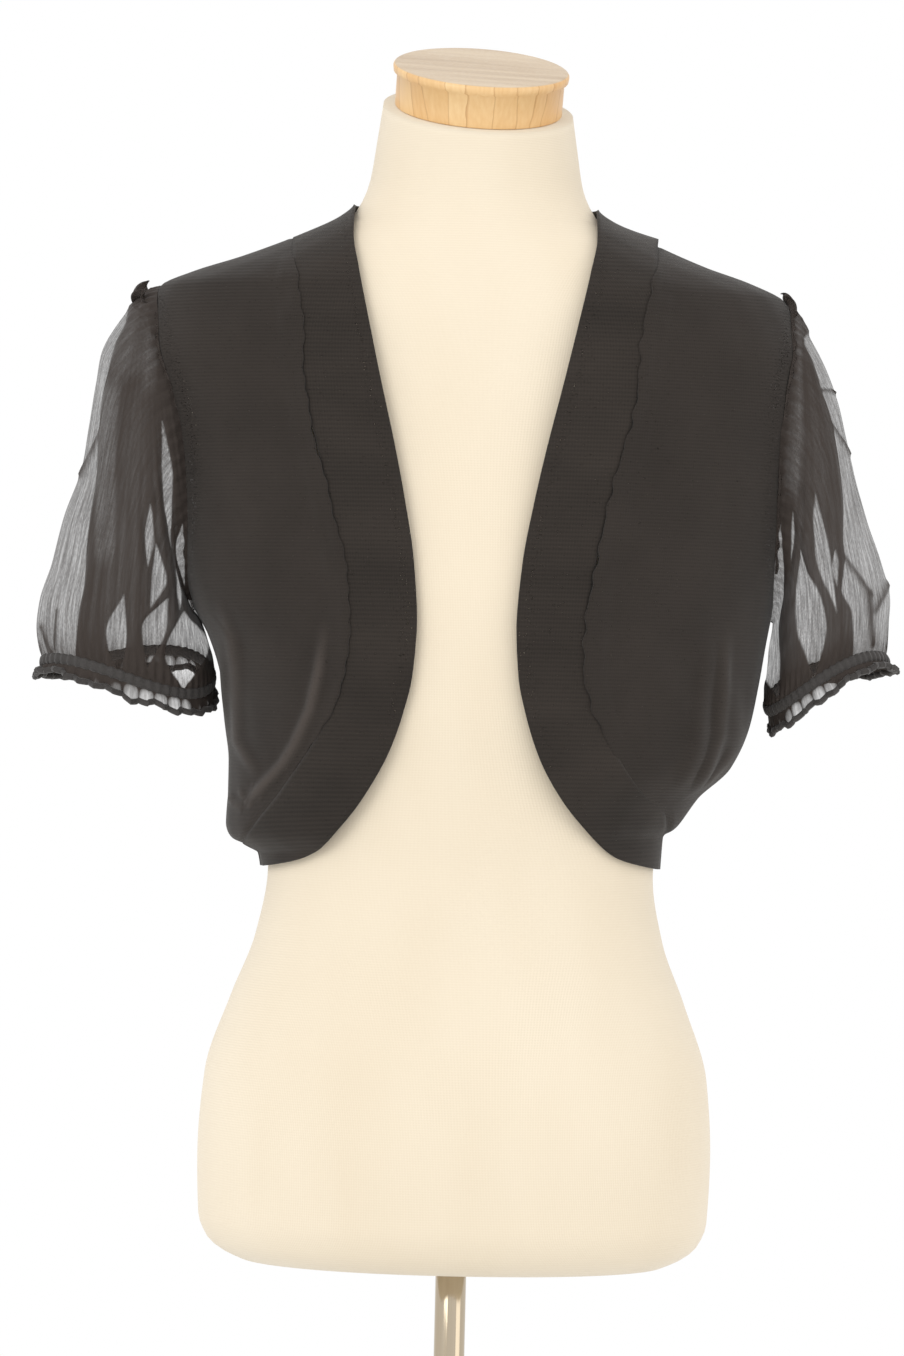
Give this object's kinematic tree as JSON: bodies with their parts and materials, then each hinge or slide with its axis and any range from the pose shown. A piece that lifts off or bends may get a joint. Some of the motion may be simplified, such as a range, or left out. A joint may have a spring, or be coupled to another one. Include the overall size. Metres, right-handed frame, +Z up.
{
  "type": "short-sleeved bolero cardigan on a dress form",
  "caption": "Open bolero cardigan of fine knit with sheer gathered puff sleeves, worn by a padded dress form with a wooden neck cap on a pole and round foot.",
  "frame": {"origin": "centre of the round foot's underside, on the floor", "axes": "+Z up along the pole, -Y to the front, +X to the wearer's left"},
  "size_m": [0.5632, 0.34, 1.5516],
  "materials": {
    "jersey": "fine cream cotton jersey, matte",
    "wood": "light clear-coated wood",
    "chrome": "polished",
    "steel": "brushed",
    "knit": "fine black knit with faint level rows",
    "band": "black double knit, denser than the body",
    "chiffon": "sheer black crinkled chiffon"
  },
  "bodies": {
    "root": {"form_torso": "jersey", "form_neck_cap": "wood", "form_pole": "chrome", "form_base": "steel", "back_panel": "knit", "front_panel_left": "knit", "front_panel_right": "knit", "band_neck": "band", "band_front_left": "band", "band_front_right": "band", "band_hem": "band", "sleeve_left": "chiffon", "sleeve_right": "chiffon", "cuff_casing_left": "chiffon", "cuff_casing_right": "chiffon", "cuff_ruffle_left": "chiffon", "cuff_ruffle_right": "chiffon", "armhole_frill_left": "chiffon", "armhole_frill_right": "chiffon"}
  },
  "joints": []
}
